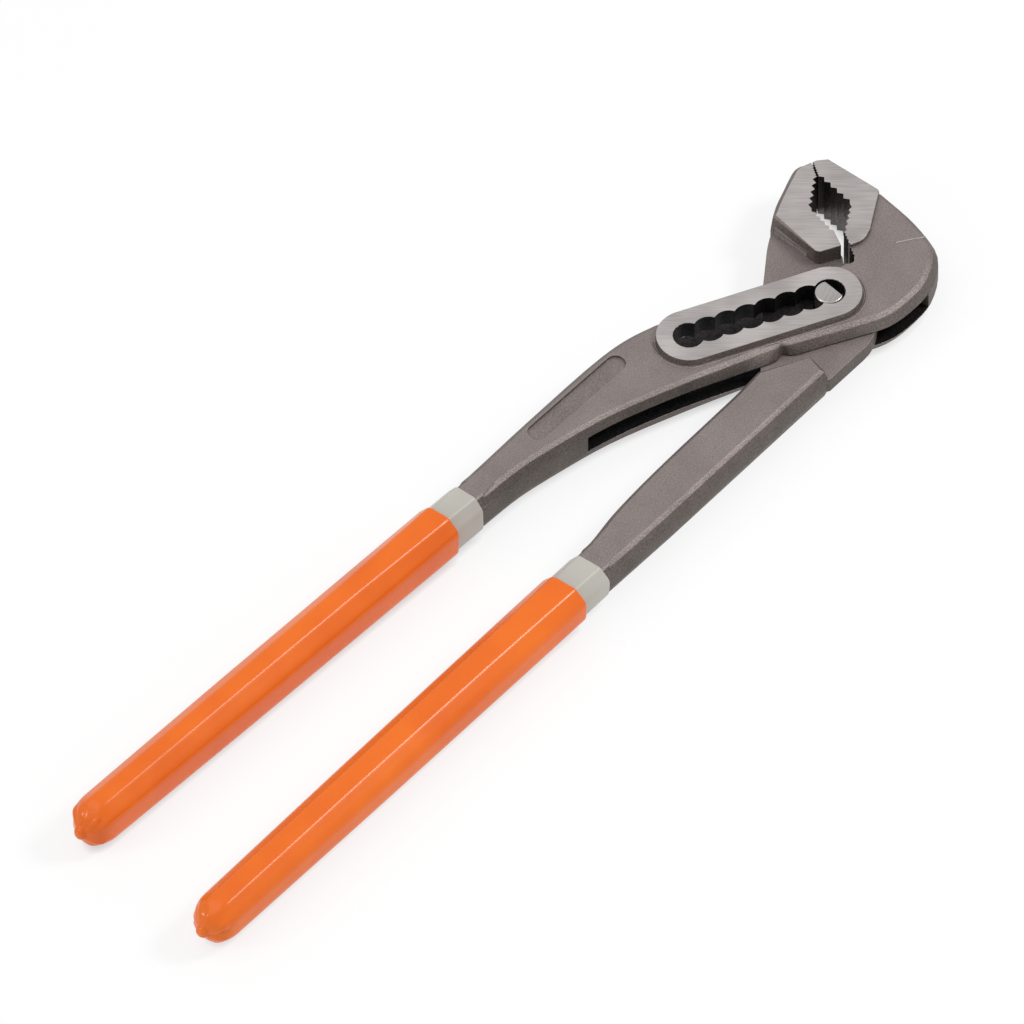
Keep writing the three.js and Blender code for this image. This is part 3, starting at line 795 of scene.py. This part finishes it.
# The crease's lighter ground steel is a painted highlight on a real raised line.
raised_lines("cheek_crease", [CREASE], CREASE_WIDTH, CREASE_TAPER, ground_face, "outer_half")


# %% [markdown]
# The picture is taken from above the handles' ends, from so far away that parallel edges stay parallel.
# An orthographic camera would do that too, but a very long lens keeps a trace of perspective, as a real
# one does. The distance follows from the width of the picture and the lens. The clipping distances are in
# metres.

# %% Camera
LENS = 1500.0
SENSOR = 36.0
PICTURE_WIDTH = 263.2
PICTURE_MIDDLE = (-109.9, 14.72, 8.05)
CLIP_NEAR = 0.05
CLIP_FAR = 300.0
towards_camera = Vector((-0.4956, -0.416, 0.763)).normalized()
camera_distance = PICTURE_WIDTH * MM * LENS / SENSOR
camera_data = bpy.data.cameras.new("camera")
camera_data.lens = LENS
camera_data.sensor_width = SENSOR
camera_data.clip_start = CLIP_NEAR
camera_data.clip_end = CLIP_FAR
camera = bpy.data.objects.new("camera", camera_data)
bpy.context.scene.collection.objects.link(camera)
bpy.context.scene.camera = camera
camera.location = Vector(placed(PICTURE_MIDDLE)) + towards_camera * camera_distance
camera.rotation_euler = towards_camera.to_track_quat("Z", "Y").to_euler()
print("the camera stands", round(camera_distance, 2), "m away")


# %% [markdown]
# The tool lies on a white table that is as bright as the background, with only a breath of shadow. A plain
# white plane would come out grey, and a shadow catcher needs work after the render. So the table glows for
# the camera and for reflections, and is matt for soft light. In the last millimetres under the tool, an
# ambient occlusion node paints a contact shadow into the glow, which keeps the tool on the table.

# %% White table finish
TABLE_WHITE = 0.9
GLOW_SHARE = 0.78
CONTACT_SHADOW_REACH = 2.5
CONTACT_SHADOW_SHARE = 0.5


def seen_directly(tree):
    """1 for rays that show the picture or a reflection, 0 for light that bounces softly."""
    path = add_node(tree, "ShaderNodeLightPath")
    first = add_node(tree, "ShaderNodeMath",
                     {0: path.outputs["Is Camera Ray"], 1: path.outputs["Is Glossy Ray"]},
                     operation="MAXIMUM")
    both = add_node(tree, "ShaderNodeMath",
                    {0: first.outputs[0], 1: path.outputs["Is Transmission Ray"]},
                    operation="MAXIMUM")
    return both.outputs[0]


def white_table_finish():
    material = bpy.data.materials.new("white table")
    material.use_nodes = True
    tree = material.node_tree
    tree.nodes.clear()
    matt = add_node(tree, "ShaderNodeBsdfDiffuse", {"Color": (TABLE_WHITE, TABLE_WHITE, TABLE_WHITE, 1)})
    # Ambient occlusion darkens the glow under the tool: a painted contact shadow at half strength.
    painted_contact_shadow = add_node(tree, "ShaderNodeAmbientOcclusion", {"Distance": CONTACT_SHADOW_REACH * MM})
    glow_with_contact_shadow = add_node(tree, "ShaderNodeMix",
                     {"Factor": CONTACT_SHADOW_SHARE, "A": (1, 1, 1, 1), "B": painted_contact_shadow.outputs["Color"]},
                     data_type="RGBA")
    glow = add_node(tree, "ShaderNodeEmission", {"Color": glow_with_contact_shadow.outputs["Result"], "Strength": 1.0})
    share = add_node(tree, "ShaderNodeMath", {0: seen_directly(tree), 1: GLOW_SHARE}, operation="MULTIPLY")
    mixed = add_node(tree, "ShaderNodeMixShader",
                     {0: share.outputs[0], 1: matt.outputs[0], 2: glow.outputs[0]})
    add_node(tree, "ShaderNodeOutputMaterial", {"Surface": mixed.outputs[0]})
    print("finish:", material.name)
    return material


# %% [markdown]
# The table is one large flat face, a hair below the tool, so that no two faces share a place. A box would
# do as well, but only its top would be seen. Its reach to each side is in metres.

# %% Table
TABLE_REACH = 4.0
TABLE_GAP = 0.3

table_mesh = bpy.data.meshes.new("table")
table_corners = [(x * TABLE_REACH, y * TABLE_REACH, -TABLE_GAP * MM)
                 for x, y in ((-1, -1), (1, -1), (1, 1), (-1, 1))]
table_mesh.from_pydata(table_corners, [], [(0, 1, 2, 3)])
table_mesh.materials.append(white_table_finish())
table = bpy.data.objects.new("table", table_mesh)
bpy.context.scene.collection.objects.link(table)
print("the table lies", TABLE_GAP, "mm below the tool")


# %% [markdown]
# A studio for small tools is a white tent with a few soft boxes round it. The tent could be modelled, but
# a white world does the same: full white where it is seen or mirrored, and weaker as soft light, so that
# the forms keep some shade.

# %% White tent
TENT_LIGHT = 0.54

world = bpy.data.worlds.new("studio")
bpy.context.scene.world = world
world.use_nodes = True
tent = world.node_tree
tent.nodes.clear()
strength = add_node(tent, "ShaderNodeMapRange",
                    {"Value": seen_directly(tent), "To Min": TENT_LIGHT, "To Max": 1.0})
dome = add_node(tent, "ShaderNodeBackground", {"Color": (1, 1, 1, 1), "Strength": strength.outputs[0]})
add_node(tent, "ShaderNodeOutputWorld", {"Surface": dome.outputs[0]})
print("the tent gives", TENT_LIGHT, "of full white as soft light")


# %% [markdown]
# Three soft boxes give the highlights their shape: the key draws the bright line along the grips, the
# rear one stands off the handles' ends and brings out their tips, and the large one overhead fills the
# flat faces. Point lamps would do for brightness, but their highlights are dots. Places and sizes here are
# in metres, powers in watts.

# %% Soft boxes
SOFT_BOXES = {
    "key soft box": {"place": (0.62, -0.56, 0.92), "size": (0.3, 0.3), "power": 7.0},
    "rear soft box": {"place": (-0.95, 0.52, 0.62), "size": (0.22, 0.22), "power": 2.4},
    "overhead soft box": {"place": (-0.4, 0.3, 1.3), "size": (1.4, 1.0), "power": 5.0},
}
for name, box in SOFT_BOXES.items():
    light = bpy.data.lights.new(name, "AREA")
    light.shape = "RECTANGLE"
    light.size, light.size_y = box["size"]
    light.energy = box["power"]
    lamp = bpy.data.objects.new(name, light)
    lamp.location = box["place"]
    lamp.rotation_euler = Vector(box["place"]).to_track_quat("Z", "Y").to_euler()
    bpy.context.scene.collection.objects.link(lamp)
    print(name, box["power"], "W")


# %% [markdown]
# Last, a small function turns the corners of a box into plain lists of numbers. Boxes could be read off in
# the viewport instead.

# %% Sizes
def corners(box):
    return [list(map(float, corner)) for corner in box]
